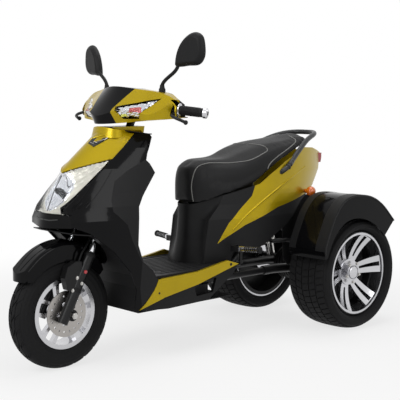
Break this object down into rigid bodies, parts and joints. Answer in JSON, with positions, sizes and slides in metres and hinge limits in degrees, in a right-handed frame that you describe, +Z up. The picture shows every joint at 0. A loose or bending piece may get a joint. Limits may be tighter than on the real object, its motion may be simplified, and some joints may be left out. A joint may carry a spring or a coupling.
{
  "type": "electric mobility tricycle",
  "caption": "Step-through electric tricycle with a scooter body: steered front wheel, two wide rear wheels under fenders, padded seat, folding pegs and grab rail.",
  "frame": {"origin": "on the floor, under the middle of the tricycle's length and width", "axes": "+X forward, +Y to the rider's left, +Z up"},
  "size_m": [1.786, 0.85, 1.2622],
  "materials": {
    "tyre": "matte black rubber",
    "silver_alloy": "machined silver alloy",
    "disc_steel": "brushed steel",
    "black_metal": "satin black paint",
    "chrome": "polished chrome",
    "steel": "zinc plated",
    "gloss_black": "high gloss black",
    "matte_black": "fine grained matte black",
    "yellow": "metallic golden yellow paint on plastic",
    "clear": "clear lamp lens",
    "grip_rubber": "ribbed rubber",
    "battery": "battery case",
    "seat_vinyl": "black vinyl with light grey piping",
    "satin_grey": "satin dark grey",
    "red_lens": "red lamp lens",
    "amber": "amber lamp lens"
  },
  "bodies": {
    "chassis": {"front_panel": "yellow", "headlight_lens": "clear", "headlight_bowl": "chrome", "chin_cover": "gloss_black", "side_aprons": "gloss_black", "leg_shield": "matte_black", "inner_fender": "matte_black", "neck_cover": "yellow", "main_frame": "black_metal", "floorboard": "matte_black", "side_covers": "matte_black", "side_stripes": "yellow", "battery_pack": "battery", "belly_pan": "matte_black", "rear_panels": "yellow", "under_seat_body": "matte_black", "seat_bucket": "matte_black", "grab_rail": "satin_grey", "tail_lamp": "red_lens", "rear_signals": "amber", "rear_fenders": "gloss_black", "rear_axle": "black_metal", "swingarm": "black_metal", "shocks": "steel", "tail_cover": "satin_grey"},
    "steering": {"fork_lowers": "black_metal", "fork_tubes": "chrome", "fork_yoke": "black_metal", "front_axle": "steel", "brake_caliper": "black_metal", "front_fender": "gloss_black", "handlebar": "black_metal", "headset_cover": "yellow", "headset_wedge": "gloss_black", "headset_back": "matte_black", "front_signals": "clear", "grips": "grip_rubber", "brake_levers": "black_metal", "mirrors": "matte_black"},
    "front_wheel": {"front_tyre": "tyre", "front_rim": "silver_alloy", "front_disc": "disc_steel"},
    "rear_wheel_left": {"rear_tyre_left": "tyre", "rear_rim_left": "silver_alloy"},
    "rear_wheel_right": {"rear_tyre_right": "tyre", "rear_rim_right": "silver_alloy"},
    "seat": {"seat_cushion": "seat_vinyl"},
    "peg_left": {"peg_left": "silver_alloy"},
    "peg_right": {"peg_right": "silver_alloy"}
  },
  "joints": [
    {"name": "steering_turn", "type": "hinge", "parent": "chassis", "child": "steering", "pos_m": [0.44606, 0, 0.7], "axis": [-0.4695, 0, 0.8829], "range_deg": [-38, 38]},
    {"name": "front_wheel_roll", "type": "hinge", "parent": "steering", "child": "front_wheel", "pos_m": [0.68, 0, 0.213], "axis": [0, 1, 0], "continuous": true},
    {"name": "rear_wheel_left_roll", "type": "hinge", "parent": "chassis", "child": "rear_wheel_left", "pos_m": [-0.644, 0.283, 0.249], "axis": [0, 1, 0], "continuous": true},
    {"name": "rear_wheel_right_roll", "type": "hinge", "parent": "chassis", "child": "rear_wheel_right", "pos_m": [-0.644, -0.283, 0.249], "axis": [0, 1, 0], "continuous": true},
    {"name": "seat_lift", "type": "hinge", "parent": "chassis", "child": "seat", "pos_m": [0.066, 0, 0.58], "axis": [0, 1, 0], "range_deg": [0, 66]},
    {"name": "peg_left_fold", "type": "hinge", "parent": "chassis", "child": "peg_left", "pos_m": [-0.066, 0.212, 0.4], "axis": [1, 0, 0], "range_deg": [0, 85]},
    {"name": "peg_right_fold", "type": "hinge", "parent": "chassis", "child": "peg_right", "pos_m": [-0.066, -0.212, 0.4], "axis": [-1, 0, 0], "range_deg": [0, 85]}
  ]
}
